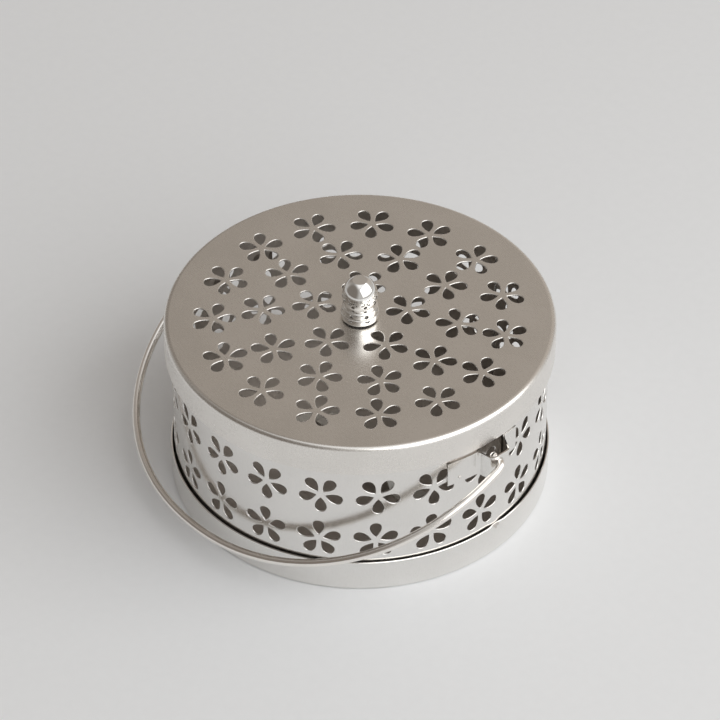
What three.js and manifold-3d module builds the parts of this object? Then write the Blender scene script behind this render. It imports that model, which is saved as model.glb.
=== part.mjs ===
// Mosquito coil holder: a perforated round case of thin sheet steel on a shallow dish, with a
// perforated lift-off lid, a turned knob and a wire bail that swings on two stand-off ears.
// Millimetres, +Z up. The origin is the centre of the dish's flat underside. The bail pivots about
// a line parallel to X, and hangs to the -Y side at rest.
import * as THREE from 'three';
import { mergeGeometries, mergeVertices } from 'three/addons/utils/BufferGeometryUtils.js';
import Module from 'manifold-3d';

// Driving dimensions of the sheet-metal pans and the case.
const sheet = 0.5;                 // thickness of the wall, the lid and the dish
const wallRadius = 67.7;           // outside of the perforated wall
const lidClearance = 1.8;          // between the wall and the lid's skirt
const lidRadius = wallRadius + lidClearance + sheet;
const lidSkirtHeight = 12.1;
const lidTopZ = 68.4;
const lidEdgeRadius = 1.9;         // rounded shoulder between the lid's top and its skirt
const dishClearance = 0.65;        // between the wall and the dish's rim
const dishRadius = wallRadius + dishClearance + sheet;
const dishHeight = 12.8;
const dishEdgeRadius = 0.8;        // rounded foot of the dish

// Grips pressed into the dish's rim.
const gripCount = 2;
const gripAngle = 4;               // of the first one, degrees from +X
const gripClearance = 0.3;         // between a grip and the wall
const gripHalfWidth = 3.2;
const gripHeight = 5;

// Flower perforations.
const petalCount = 5;
const petalStart = 1.9;            // from the flower's centre to a petal's inner tip
const petalLength = 6.1;
const petalWidth = 3.9;
const wallFlowerCount = 21;        // in each of the wall's two rows
const wallRowUpperAngle = -1.3;    // of the upper row's first one, degrees from +X
const wallRowLowerAngle = -2;
const wallRowUpperZ = 43.7;
const wallRowLowerZ = 22.6;
const lidRingRadiusShares = [0.2523, 0.5017, 0.748];
const lidRingCounts = [5, 10, 15];
const lidRingAngles = [62.2, 6.8, 14.1];

// Lap seam of the rolled wall.
const seamWidth = 2.6;

// Stand-off ears, spot-welded to the wall, which carry the bail clear of the lid.
const earSheet = 0.6;
const earHeight = 10.3;
const earTopZ = 52.9;
const earWeldGap = 0.3;            // between the ear's feet and the wall
const earNearFootStartAngle = -14.4; // free end of one foot, degrees from +X
const earNearFootEndAngle = -3.6;  // where that foot leaves the wall
const earFarFootStartAngle = 6.5;
const earFarFootEndAngle = 12.4;   // free end of the other foot
const earPlateStart = -3.1;        // the plate's two corners, along Y
const earPlateEnd = 4.6;
const earBendRadius = 0.9;

// Bail of round wire.
const wireRadius = 1.35;
const pivotZ = 49.8;
const pivotClearance = 0.35;       // of the wire in the ear's hole
const legClearance = 0.6;          // between the ear's plate and the bail's leg
const tailClearance = 0.4;         // between the ear's plate and the wire's bent-over end
const tailWallGap = 2.95;          // between the wall and the wire's bent-over end
const tailReach = 2.6;             // of the bent-over end, from the pivot line
const wireBendRadius = 1.9;
const bailStandOff = 17.7;         // from the wall's radius out to the bail's reach
const bailReach = wallRadius + bailStandOff;
const bailFullness = 2.11;         // 2 makes its bow a true arc, and more makes it squarer
const bailLean = 4.1;              // of the bow's middle towards -X, from being bent by hand
const bailDrop = 26.1;             // of the bail below the horizontal at rest, degrees

// Outside of the plate that the bail's end passes through.
const earPlateRadius = wallRadius + tailWallGap + 2 * wireRadius + tailClearance + earSheet;

// Turned knob, its washer and its screw.
const knobHeight = 16.3;
const knobCollarRadius = 6.9;
const knobCollarHeight = 2.65;
const knobRingRadius = 6.4;
const knobRingHeight = 2.35;
const knobWaistRadius = 5.8;
const knobWaistHeight = 0.9;
const knobDomeRadius = 6.4;
const knobDomeRise = 3.4;          // from the waist to where the dome is widest
const knobTopRadius = 2.7;
const washerRadius = 6.2;
const washerThickness = 0.7;
const screwRadius = 1.5;
const screwHeadRadius = 3.2;
const screwHeadHeight = 1.8;
const screwReach = 8;              // of the screw above the lid's top
const fitGap = 0.3;                // between pieces that lie against each other

// Pressed support for the coil, spot-welded to the dish's floor.
const standSheet = 0.6;
const standWidth = 10;
const standSpan = 62;              // between the ends of its two feet
const standFootLength = 8;
const standLegRun = 4;             // of each leg, along X
const standBridgeZ = 8;            // underside of the bridge
const standSpearWidth = 4;
const standSpearHeight = 10;
const standSpearNeck = 5.5;        // height at which the spear's sides turn in to its point
const standSpearOffset = 2;        // from the spear's foot to the slot that it was cut from

// Facets.
const roundSegments = 66;
const wallSegmentsPerFlower = 2;
const edgeSegments = 2;
const knobSegments = 24;
const domeSteps = 4;
const smallSegments = 12;
const wireSides = 12;
const bailSegments = 40;
const bendSegments = 3;
const footSteps = 3;
const overrun = 1;                 // of a cutter past what it cuts

const degrees = Math.PI / 180;
const wasm = await Module();
wasm.setup();

// Geometry with merged vertices, turned the right way out.
function closed(geometry) {
  const bare = geometry.index ? geometry.toNonIndexed() : geometry.clone();
  bare.deleteAttribute('normal');
  bare.deleteAttribute('uv');
  const merged = mergeVertices(bare);
  const place = merged.attributes.position;
  const index = merged.index.array;
  const corner = [new THREE.Vector3(), new THREE.Vector3(), new THREE.Vector3()];
  const kept = [];
  let volume = 0;
  for (let i = 0; i < index.length; i += 3) {
    const [a, b, c] = [index[i], index[i + 1], index[i + 2]];
    if (a === b || b === c || c === a) continue;
    kept.push(a, b, c);
    corner.forEach((point, k) => point.fromBufferAttribute(place, index[i + k]));
    volume += corner[0].dot(corner[1].cross(corner[2]));
  }
  if (volume < 0) kept.reverse();
  merged.setIndex(kept);
  return merged;
}

function toManifold(geometry) {
  const solid = closed(geometry);
  return new wasm.Manifold(new wasm.Mesh({
    numProp: 3,
    vertProperties: new Float32Array(solid.attributes.position.array),
    triVerts: new Uint32Array(solid.index.array),
  }));
}

function fromManifold(manifold) {
  const result = manifold.getMesh();
  const geometry = new THREE.BufferGeometry();
  geometry.setAttribute('position', new THREE.BufferAttribute(result.vertProperties, 3));
  geometry.setIndex(new THREE.BufferAttribute(result.triVerts, 1));
  return geometry;
}

// Solid of revolution about Z, from [radius, z] pairs.
function turned(profile, segments) {
  const points = profile.map(([radius, z]) => new THREE.Vector2(radius, z));
  const geometry = new THREE.LatheGeometry(points, segments);
  geometry.rotateX(Math.PI / 2);
  geometry.scale(1, -1, 1);
  return geometry;
}

// Points on a quarter turn about a centre, in [radius, z] pairs, from one angle to the next.
function quarter(centre, radius, from, to, steps) {
  const points = [];
  for (let i = 0; i <= steps; i += 1) {
    const angle = (from + (to - from) * i / steps) * degrees;
    points.push([centre[0] + radius * Math.cos(angle), centre[1] + radius * Math.sin(angle)]);
  }
  return points;
}

// Vertical prism on an outline of [x, y] pairs.
function prism(outline, height) {
  const shape = new THREE.Shape(outline.map(([x, y]) => new THREE.Vector2(x, y)));
  return new THREE.ExtrudeGeometry(shape, { depth: height, bevelEnabled: false });
}

// Outline of a strip that follows [x, y] pairs, with its corners rounded.
function stripOutline(path, thickness, bendRadius) {
  const points = path.map(([x, y]) => new THREE.Vector2(x, y));
  const line = [points[0]];
  for (let i = 1; i < points.length - 1; i += 1) {
    const reach = Math.min(bendRadius, points[i].distanceTo(points[i - 1]) / 2,
      points[i].distanceTo(points[i + 1]) / 2);
    const before = points[i].clone().lerp(points[i - 1], reach / points[i].distanceTo(points[i - 1]));
    const after = points[i].clone().lerp(points[i + 1], reach / points[i].distanceTo(points[i + 1]));
    line.push(...new THREE.QuadraticBezierCurve(before, points[i], after).getPoints(bendSegments));
  }
  line.push(points[points.length - 1]);
  const side = [[], []];
  line.forEach((point, i) => {
    const back = point.clone().sub(line[Math.max(i - 1, 0)]).normalize();
    const ahead = line[Math.min(i + 1, line.length - 1)].clone().sub(point).normalize();
    const along = back.add(ahead).normalize();
    const offset = new THREE.Vector2(-along.y, along.x).multiplyScalar(thickness / 2);
    side[0].push([point.x + offset.x, point.y + offset.y]);
    side[1].unshift([point.x - offset.x, point.y - offset.y]);
  });
  return [...side[0], ...side[1]];
}

// One petal's outline, its inner tip nearest the flower's centre, as shares of length and width.
const petalOutlineShares = [[0, 0], [0.6, 0.5], [0.97, 0.3], [0.97, -0.3], [0.6, -0.5]];

// Cutters for one flower, along Z, with one petal pointing at the given angle.
function flowerCutter(angle, depth) {
  const outline = petalOutlineShares.map(([along, across]) => [petalStart + along * petalLength,
    across * petalWidth]);
  const petals = [];
  for (let i = 0; i < petalCount; i += 1) {
    const petal = prism(outline, depth);
    petal.rotateZ(angle * degrees + 2 * Math.PI * i / petalCount);
    petals.push(petal);
  }
  return mergeGeometries(petals);
}

// The dish: a shallow pan whose rim is pressed in at a few grips.
function baseDish() {
  const innerEdge = dishEdgeRadius - sheet;
  const innerRadius = dishRadius - sheet;
  const profile = [[0, 0],
    ...quarter([dishRadius - dishEdgeRadius, dishEdgeRadius], dishEdgeRadius, -90, 0, edgeSegments),
    [dishRadius, dishHeight], [innerRadius, dishHeight],
    ...quarter([innerRadius - innerEdge, sheet + innerEdge], innerEdge, 0, -90, edgeSegments),
    [0, sheet]];
  let dish = toManifold(turned(profile, roundSegments));
  const bound = toManifold(turned([[0, sheet], [dishRadius - sheet / 2, sheet],
    [dishRadius - sheet / 2, dishHeight], [0, dishHeight]], roundSegments));
  const reach = dishRadius - wallRadius - gripClearance;
  for (let i = 0; i < gripCount; i += 1) {
    const angle = gripAngle * degrees + 2 * Math.PI * i / gripCount;
    const bulge = (inset) => {
      const ball = new THREE.SphereGeometry(1, smallSegments, smallSegments / 2);
      ball.scale(reach - inset, gripHalfWidth - inset, gripHeight - inset);
      ball.translate(dishRadius, 0, dishHeight);
      ball.rotateZ(angle);
      return toManifold(ball);
    };
    dish = dish.add(bulge(0).intersect(bound)).subtract(bulge(sheet));
  }
  return fromManifold(dish);
}

// The coil support: a bridge on two feet, with a spear cut and bent up from its middle.
function coilStand() {
  const half = standSpan / 2;
  const kneeX = half - standFootLength;
  const floorZ = sheet + standSheet / 2;
  const topZ = standBridgeZ + standSheet / 2;
  const path = [[-half, floorZ], [-kneeX, floorZ], [-kneeX + standLegRun, topZ],
    [kneeX - standLegRun, topZ], [kneeX, floorZ], [half, floorZ]];
  const strip = prism(stripOutline(path, standSheet, standSheet), standWidth);
  strip.rotateX(Math.PI / 2);
  strip.translate(0, standWidth / 2, 0);
  const halfSpear = standSpearWidth / 2;
  const spearOutline = [[-halfSpear, -standSheet / 2], [halfSpear, -standSheet / 2],
    [halfSpear, standSpearNeck], [0, standSpearHeight], [-halfSpear, standSpearNeck]];
  const spear = prism(spearOutline, standSheet);
  spear.rotateX(Math.PI / 2);
  spear.rotateZ(Math.PI / 2);
  spear.translate(0, 0, standBridgeZ + standSheet);
  const slot = new THREE.BoxGeometry(standSpearHeight, standSpearWidth, standSheet + 2 * overrun);
  slot.translate(standSpearOffset + standSpearHeight / 2, 0, topZ);
  return fromManifold(toManifold(strip).subtract(toManifold(slot)).add(toManifold(spear)));
}

// The case's wall: a rolled strip with a lap seam and two rows of flowers.
function bodyWall() {
  const low = sheet;
  const high = lidTopZ - sheet;
  const inner = wallRadius - sheet;
  const tube = turned([[inner, low], [wallRadius, low], [wallRadius, high], [inner, high],
    [inner, low]], wallFlowerCount * wallSegmentsPerFlower);
  const middleAngle = (wallRowUpperAngle + wallRowLowerAngle) / 2;
  tube.rotateZ(middleAngle * degrees - Math.PI / 2);
  const pitch = 360 / wallFlowerCount;
  const seamAngle = (middleAngle + pitch * (Math.round(90 / pitch) + 1 / 2)) * degrees;
  const seamLow = dishEdgeRadius;
  const seamHeight = high - lidEdgeRadius - seamLow;
  const seam = new THREE.BoxGeometry(sheet + sheet / 2, seamWidth, seamHeight);
  seam.translate(wallRadius + sheet / 4, 0, seamLow + seamHeight / 2);
  seam.rotateZ(seamAngle);
  const cutters = [];
  const rows = [[wallRowUpperZ, wallRowUpperAngle, -90], [wallRowLowerZ, wallRowLowerAngle, 90]];
  for (let i = 0; i < wallFlowerCount; i += 1) {
    for (const [z, angle, turn] of rows) {
      const flower = flowerCutter(turn, sheet + 2 * overrun);
      flower.applyMatrix4(new THREE.Matrix4().makeBasis(new THREE.Vector3(0, 1, 0),
        new THREE.Vector3(0, 0, 1), new THREE.Vector3(1, 0, 0)));
      flower.translate(inner - overrun, 0, z);
      flower.rotateZ((angle + pitch * i) * degrees);
      cutters.push(flower);
    }
  }
  const wall = toManifold(tube).add(toManifold(seam));
  return fromManifold(wall.subtract(toManifold(mergeGeometries(cutters))));
}

// An ear: two feet on the wall, and between them a plate that stands off it with a hole for the
// wire.
function ear(side) {
  const footRadius = wallRadius + earWeldGap + earSheet / 2;
  const plateX = earPlateRadius - earSheet / 2;
  const onWall = (angle) => [footRadius * Math.cos(angle * degrees),
    footRadius * Math.sin(angle * degrees)];
  const foot = (start, end) => {
    const points = [];
    for (let i = 0; i <= footSteps; i += 1) points.push(onWall(start + (end - start) * i / footSteps));
    return points;
  };
  const path = [...foot(earNearFootStartAngle, earNearFootEndAngle),
    [plateX, earPlateStart], [plateX, earPlateEnd],
    ...foot(earFarFootStartAngle, earFarFootEndAngle)];
  const bent = prism(stripOutline(path, earSheet, earBendRadius), earHeight);
  bent.translate(0, 0, earTopZ - earHeight);
  const hole = new THREE.CylinderGeometry(wireRadius + pivotClearance, wireRadius + pivotClearance,
    earSheet + 2 * overrun, smallSegments);
  hole.rotateZ(Math.PI / 2);
  hole.translate(plateX, 0, pivotZ);
  const geometry = fromManifold(toManifold(bent).subtract(toManifold(hole)));
  geometry.scale(side, 1, 1);
  return closed(geometry);
}

// A path through chosen points, with a section at every one of them.
class WirePath extends THREE.Curve {
  constructor(points) {
    super();
    this.points = points;
  }

  getPoint(t, target = new THREE.Vector3()) {
    const last = this.points.length - 1;
    const from = Math.min(Math.floor(t * last), last - 1);
    return target.lerpVectors(this.points[from], this.points[from + 1], t * last - from);
  }

  getPointAt(t, target) {
    return this.getPoint(t, target);
  }

  getTangentAt(t, target = new THREE.Vector3()) {
    const last = this.points.length - 1;
    const i = Math.round(t * last);
    const before = this.points[Math.max(i - 1, 0)];
    const after = this.points[Math.min(i + 1, last)];
    return target.subVectors(after, before).normalize();
  }
}

// Half of the bail in its own plane: X across, Y out to its middle, and the tail towards -Z.
function bailHalf() {
  const legX = earPlateRadius + legClearance + wireRadius;
  const tailX = earPlateRadius - earSheet - tailClearance - wireRadius;
  const centreY = (bailReach ** 2 - legX ** 2) / (2 * bailReach);
  const arcRadius = bailReach - centreY;
  const points = [new THREE.Vector3(tailX, 0, -tailReach)];
  for (let i = 0; i <= bendSegments; i += 1) {
    const angle = Math.PI / 2 * i / bendSegments;
    points.push(new THREE.Vector3(tailX + wireBendRadius * (1 - Math.cos(angle)), 0,
      -wireBendRadius * (1 - Math.sin(angle))));
  }
  for (let i = 0; i <= bendSegments; i += 1) {
    const angle = Math.PI / 2 * i / bendSegments;
    points.push(new THREE.Vector3(legX - wireBendRadius * (1 - Math.sin(angle)),
      wireBendRadius * (1 - Math.cos(angle)), 0));
  }
  const start = Math.asin((wireBendRadius - centreY) / arcRadius);
  const bowed = (share) => Math.sign(share) * Math.abs(share) ** (2 / bailFullness);
  for (let i = 1; i <= bailSegments / 2; i += 1) {
    const angle = start + (Math.PI / 2 - start) * 2 * i / bailSegments;
    points.push(new THREE.Vector3(arcRadius * bowed(Math.cos(angle)),
      centreY + arcRadius * bowed(Math.sin(angle)), 0));
  }
  return points;
}

// The whole bail. Its bow leans to one side, more so towards its middle.
function bailWire() {
  const right = bailHalf();
  const left = right.slice(0, -1).reverse().map((point) => new THREE.Vector3(-point.x, point.y,
    point.z));
  const points = [...right, ...left];
  for (const point of points) {
    const share = (point.y - wireBendRadius) / (bailReach - wireBendRadius);
    point.x -= bailLean * Math.max(share, 0);
  }
  const section = new THREE.Shape();
  for (let i = 0; i < wireSides; i += 1) {
    const angle = 2 * Math.PI * i / wireSides;
    const place = [wireRadius * Math.cos(angle), wireRadius * Math.sin(angle)];
    if (i === 0) section.moveTo(...place);
    else section.lineTo(...place);
  }
  section.closePath();
  const geometry = new THREE.ExtrudeGeometry(section, { steps: points.length - 1,
    extrudePath: new WirePath(points), bevelEnabled: false });
  return closed(geometry);
}

// The lid's cap: a shallow pan upside down, with three rings of flowers and a hole for the screw.
function lidCap() {
  const bottom = lidTopZ - lidSkirtHeight;
  const innerEdge = lidEdgeRadius - sheet;
  const innerRadius = lidRadius - sheet;
  const profile = [[0, lidTopZ - sheet],
    ...quarter([innerRadius - innerEdge, lidTopZ - lidEdgeRadius], innerEdge, 90, 0, edgeSegments),
    [innerRadius, bottom], [lidRadius, bottom],
    ...quarter([lidRadius - lidEdgeRadius, lidTopZ - lidEdgeRadius], lidEdgeRadius, 0, 90,
      edgeSegments),
    [0, lidTopZ]];
  const hole = new THREE.CylinderGeometry(screwRadius + fitGap, screwRadius + fitGap,
    sheet + 2 * overrun, smallSegments);
  hole.rotateX(Math.PI / 2);
  hole.translate(0, 0, lidTopZ - sheet / 2);
  const cutters = [];
  lidRingRadiusShares.forEach((share, ring) => {
    for (let i = 0; i < lidRingCounts[ring]; i += 1) {
      const flower = flowerCutter(180, sheet + 2 * overrun);
      flower.translate(share * lidRadius, 0, lidTopZ - sheet - overrun);
      flower.rotateZ(lidRingAngles[ring] * degrees + 2 * Math.PI * i / lidRingCounts[ring]);
      cutters.push(flower);
    }
  });
  const pan = toManifold(turned(profile, roundSegments)).subtract(toManifold(hole));
  return fromManifold(pan.subtract(toManifold(mergeGeometries(cutters))));
}

// Height at which the knob stands.
const knobBaseZ = lidTopZ + washerThickness;

// The knob: a collar, a ring, a waist and a dome with a flat top, bored from below for the screw.
function lidKnob() {
  const bore = screwRadius + fitGap;
  const boreTop = lidTopZ + screwReach + fitGap;
  const collarTop = knobBaseZ + knobCollarHeight;
  const ringTop = collarTop + knobRingHeight;
  const waistTop = ringTop + knobWaistHeight;
  const wideZ = waistTop + knobDomeRise;
  const top = knobBaseZ + knobHeight;
  const round = knobCollarRadius - knobRingRadius;
  const shrink = Math.sqrt(1 - (knobTopRadius / knobDomeRadius) ** 2);
  const domeHeight = (top - wideZ) / shrink;
  const dome = [];
  for (let i = 0; i <= domeSteps; i += 1) {
    const angle = Math.acos(knobTopRadius / knobDomeRadius) * i / domeSteps;
    dome.push([knobDomeRadius * Math.cos(angle), wideZ + domeHeight * Math.sin(angle)]);
  }
  const profile = [[bore, knobBaseZ], [knobCollarRadius - round, knobBaseZ],
    [knobCollarRadius, knobBaseZ + round], [knobCollarRadius, collarTop - round],
    [knobWaistRadius, collarTop], [knobRingRadius, collarTop + round],
    [knobRingRadius, ringTop - round], [knobWaistRadius, ringTop], [knobWaistRadius, waistTop],
    [(knobWaistRadius + knobDomeRadius) / 2, waistTop + knobDomeRise / 3],
    ...dome, [0, top], [0, boreTop], [bore, boreTop], [bore, knobBaseZ]];
  return closed(turned(profile, knobSegments));
}

// The washer between the knob and the lid.
function knobWasher() {
  const bore = screwRadius + fitGap;
  return closed(turned([[bore, lidTopZ], [washerRadius, lidTopZ], [washerRadius, knobBaseZ],
    [bore, knobBaseZ], [bore, lidTopZ]], knobSegments));
}

// The screw that holds the knob from inside the lid.
function knobScrew() {
  const under = lidTopZ - sheet;
  const low = under - screwHeadHeight;
  const shoulder = screwHeadHeight / 3;
  return closed(turned([[0, low], [screwHeadRadius - shoulder, low],
    [screwHeadRadius, low + shoulder], [screwHeadRadius, under], [screwRadius, under],
    [screwRadius, lidTopZ + screwReach], [0, lidTopZ + screwReach]], knobSegments));
}

const satin = { color: 0xb9b5ae, roughness: 0.38, metalness: 1 };
const bright = { color: 0xc9c6c1, roughness: 0.12, metalness: 1 };
const dark = { color: 0x3a3836, roughness: 0.6, metalness: 0.4 };

function mesh(name, geometry, look) {
  const piece = new THREE.Mesh(geometry, new THREE.MeshStandardMaterial(look));
  piece.name = name;
  return piece;
}

const dishGroup = new THREE.Group();
dishGroup.add(mesh('base_dish', baseDish(), satin), mesh('coil_stand', coilStand(), bright));

const caseGroup = new THREE.Group();
caseGroup.add(mesh('body_wall', bodyWall(), satin), mesh('ear_right', ear(1), satin),
  mesh('ear_left', ear(-1), satin));

// The bail's plane is turned about X, so that its middle lies towards -Y and below the pivot line.
const bail = mesh('bail_wire', bailWire(), bright);
bail.rotation.x = Math.PI + bailDrop * degrees;
bail.position.z = pivotZ;

const lidGroup = new THREE.Group();
lidGroup.add(mesh('lid_cap', lidCap(), satin), mesh('lid_knob', lidKnob(), bright),
  mesh('knob_washer', knobWasher(), dark), mesh('knob_screw', knobScrew(), bright));

const holder = new THREE.Group();
holder.add(dishGroup, caseGroup, bail, lidGroup);

export default holder;
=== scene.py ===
import math

import bpy
from mathutils import Matrix, Quaternion, Vector
from mathutils.geometry import delaunay_2d_cdt


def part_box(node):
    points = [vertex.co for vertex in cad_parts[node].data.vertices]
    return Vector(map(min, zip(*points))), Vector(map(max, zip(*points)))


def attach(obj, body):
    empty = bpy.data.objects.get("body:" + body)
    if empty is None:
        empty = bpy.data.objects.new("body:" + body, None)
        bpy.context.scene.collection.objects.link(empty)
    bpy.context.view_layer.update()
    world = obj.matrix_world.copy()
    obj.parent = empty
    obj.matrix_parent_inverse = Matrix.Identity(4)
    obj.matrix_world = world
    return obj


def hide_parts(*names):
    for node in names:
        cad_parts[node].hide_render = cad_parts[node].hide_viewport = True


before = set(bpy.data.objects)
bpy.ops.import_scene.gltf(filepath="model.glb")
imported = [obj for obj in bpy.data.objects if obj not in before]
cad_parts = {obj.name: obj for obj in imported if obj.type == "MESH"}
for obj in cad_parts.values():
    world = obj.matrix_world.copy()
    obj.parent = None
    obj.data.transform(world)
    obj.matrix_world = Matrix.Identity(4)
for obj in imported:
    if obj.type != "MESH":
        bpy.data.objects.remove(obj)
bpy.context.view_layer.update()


def heights(node):
    """The lowest and the highest z of a solid in the frame."""
    low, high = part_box(node)
    return low.z, high.z


MM = 0.001
QUARTER_TURN = math.pi / 2
FULL_TURN = 2 * math.pi
DIFFERENCE = 0.001 * MM     # a step that is too small to see, for slopes and comparisons
MITRE_LIMIT = 0.45          # a sharper corner is mitred as if its cosine were this

# Sheet-metal pans and the case.
SHEET = 0.5 * MM
LID_BOTTOM, LID_TOP = heights("lid_cap")
LID_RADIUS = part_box("lid_cap")[1].y
LID_EDGE_RADIUS = 1.9 * MM
LID_SEGMENTS = 288
WALL_BOTTOM, WALL_TOP = heights("body_wall")
WALL_RADIUS = 67.7 * MM
DISH_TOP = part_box("base_dish")[1].z
DISH_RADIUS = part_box("base_dish")[1].y
DISH_EDGE_RADIUS = 0.8 * MM
DISH_SEGMENTS = 480
DISH_CREASE = math.radians(35)
CUT_ROLL = 0.34 * MM        # rounding that a punch leaves on the face it enters
CUT_BURR = 0.06 * MM        # rounding on the face it leaves
RIM_ROLL = 0.12 * MM        # rounding of sheared borders
SKIN = 0.9 * SHEET          # faces deeper than this count as the inside
HOLE_POINTS = 32

# Grips pressed into the dish's rim.
GRIP_COUNT = 2
GRIP_ANGLE = math.radians(4)
GRIP_SEAT_GAP = 0.04 * MM
GRIP_DEPTH = DISH_RADIUS - SHEET - WALL_RADIUS - GRIP_SEAT_GAP
GRIP_HALF_WIDTH = 4.2 * MM
GRIP_HEIGHT = 6.4 * MM

# Flowers.
PETAL_COUNT = 5
PETAL_START = 1.75 * MM     # how far from the flower's centre its tip is
PETAL_LENGTH = 6.35 * MM
PETAL_WIDTH = 4.1 * MM
PETAL_POINTS = 24
PETAL_TAPER = 0.9           # 0 makes a petal round at both ends, and more makes its tip sharper
LID_RINGS = (               # radius, number of flowers, and the first one's angle in degrees
    (17.66 * MM, 5, 62.2),
    (35.12 * MM, 10, 6.8),
    (52.36 * MM, 15, 14.1),
)
WALL_FLOWER_COUNT = 21
WALL_ROWS = (               # height, and the first flower's angle and turn in degrees
    (43.7 * MM, -1.3, -90),
    (22.6 * MM, -2, 90),
)
WALL_COLUMNS = WALL_FLOWER_COUNT * 8

# The lap seam at the back of the case.
LAP_WIDTH = 2.6 * MM
LAP_RAMP = 1.6 * MM
LAP_GAP = 0.02 * MM
LAP_STEPS = 6

# Ears. A foot is its two ends' angles and its number of facets.
EAR_SHEET = 0.6 * MM
EAR_BOTTOM, EAR_TOP = heights("ear_right")
EAR_NEAR_FOOT = (math.radians(-14.4), math.radians(-3.6), 4)
EAR_FAR_FOOT = (math.radians(6.5), math.radians(12.4), 3)
EAR_PLATE_X = 74.35 * MM
EAR_PLATE_Y = (-3.1 * MM, 4.6 * MM)
EAR_BEND = 1.8 * MM
EAR_SEAT_GAP = 0.02 * MM
EAR_HOLE_RADIUS = 1.6 * MM
WELDS = ((-10.3, 44.8 * MM), (9.45, 49.6 * MM))     # angle in degrees, and height
WELD_RADIUS = 1.15 * MM
WELD_HEIGHT = 0.42 * MM
WELD_RINGS = 6
WELD_RING_POINTS = 18
SHADED_UP = 0.6             # how far upwards an ear's upper edge faces, at least
SHADED_INWARDS = -0.3       # how far outwards an ear's back faces, at most

# Bail.
WIRE_RADIUS = 1.45 * MM
WIRE_SIDES = 24
WIRE_CREASE = math.radians(50)
WIRE_DOME_SHARE = 0.35      # how far a cut end bulges, as a share of the radius
WIRE_DOME_STEPS = 4
WIRE_DOME_FLAT = 0.15       # the flat left in a dome's middle, in steps
PIVOT_Z = 49.8 * MM
BAIL_LEG_X = 76.05 * MM
BAIL_TAIL_X = 72 * MM
BAIL_TAIL_REACH = 2.1 * MM
BAIL_BEND = 1.9 * MM
BAIL_BEND_STEPS = 8
BAIL_REACH = 85.25 * MM
BAIL_FULLNESS = 2.11        # 2 makes its bow a true arc, and more makes it squarer
BAIL_BOW_STEPS = 72
BAIL_LEAN = 4.1 * MM        # of the bow's middle towards -X
BAIL_DROP = math.radians(26.1)

# Knob and washer. The knob's heights are above its base.
KNOB_BASE, KNOB_TOP = heights("lid_knob")
KNOB_BORE = 1.7 * MM
KNOB_COLLAR_RADIUS = 6.9 * MM
KNOB_COLLAR_TOP = 2.65 * MM
KNOB_GROOVE_RADIUS = 6.05 * MM
KNOB_GROOVE_WIDTH = 0.3 * MM
KNOB_RING_RADIUS = 6.45 * MM
KNOB_RING_TOP = 5.05 * MM
KNOB_WAIST_RADIUS = 5.75 * MM
KNOB_WAIST_TOP = 6.2 * MM
KNOB_DOME_RADIUS = 6.4 * MM
KNOB_DOME_WIDEST = 9.4 * MM
KNOB_FLARE_STEPS = 7
KNOB_DOME_STEPS = 16
KNOB_FLAT_RADIUS = 2.7 * MM
KNOB_FLAT_RINGS = (0.9, 0.5)        # shares of the flat's radius
KNOB_ROUNDING = 0.55 * MM
KNOB_SEGMENTS = 96
KNOB_CREASE = math.radians(28)
WASHER_SEGMENTS = 64
WASHER_CREASE = math.radians(50)

# Screw.
SCREW_BOTTOM, SCREW_TOP = heights("knob_screw")
SCREW_RADIUS = 1.5 * MM
SCREW_HEAD_RADIUS = 3.2 * MM
SCREW_RECESS = 0.9 * MM
SCREW_TURNS = 12
SCREW_ROOT_SHARE = 0.86     # the thread's root and the tip, as shares of the screw's radius
SCREW_TIP_SHARE = 0.7
SCREW_SEGMENTS = 48
SCREW_CREASE = math.radians(30)

# Coil stand.
STAND_SHEET = 0.6 * MM
STAND_WIDTH = 10 * MM
STAND_HALF_SPAN = 31 * MM
STAND_KNEE = 23 * MM
STAND_LEG_RUN = 4 * MM
STAND_BRIDGE_Z = 8 * MM
STAND_BEND = 1.4 * MM
SPEAR_WIDTH = 4 * MM
SPEAR_HEIGHT = 10 * MM
SPEAR_NECK = 5.5 * MM
SPEAR_OFFSET = 2 * MM
BEND_STEPS = 6              # of the bends in the ears and in the stand

# The photograph's camera.
CAMERA_ANGLE = math.radians(-41)
CAMERA_ELEVATION = math.radians(42.654)
CAMERA_DISTANCE = 1533.2 * MM
CAMERA_TILT = 0.02338       # in radians, by which it looks above the frame's origin
CAMERA_LENS = 208.9
CAMERA_SENSOR = 36

# The window's lamp, in degrees, metres and watts. Its angle is round from the camera to the right.
WINDOW_ANGLE = 56
WINDOW_ELEVATION = 36
WINDOW_DISTANCE = 1.6
WINDOW_WIDTH = 2.5
WINDOW_HEIGHT = 1.6
WINDOW_POWER = 20.6
WINDOW_COLOUR = (1, 1, 1)

# The room's colours.
ROOM_PALE = (0.51, 0.50, 0.485)
ROOM_OVERHEAD = (1.0, 1.0, 1.0)
ROOM_DULL_LEFT = (0.25, 0.222, 0.196)
ROOM_DULL_RIGHT = (0.47, 0.424, 0.378)
ROOM_DARK = (0.19, 0.169, 0.15)
BACKDROP = (0.66, 0.66, 0.655)

# Parts of the room: the angle and elevation of the middle, and the cosines of the outer and the
# inner border.
BEHIND = ((180, 35), (0.35, 0.8))
AT_LEFT = ((-62, 16), (0.5, 0.85))
RIGHT_HALF = ((90, 0), (-0.3, 0.3))
OVERHEAD = ((0, 88), (0.72, 0.95))

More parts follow.
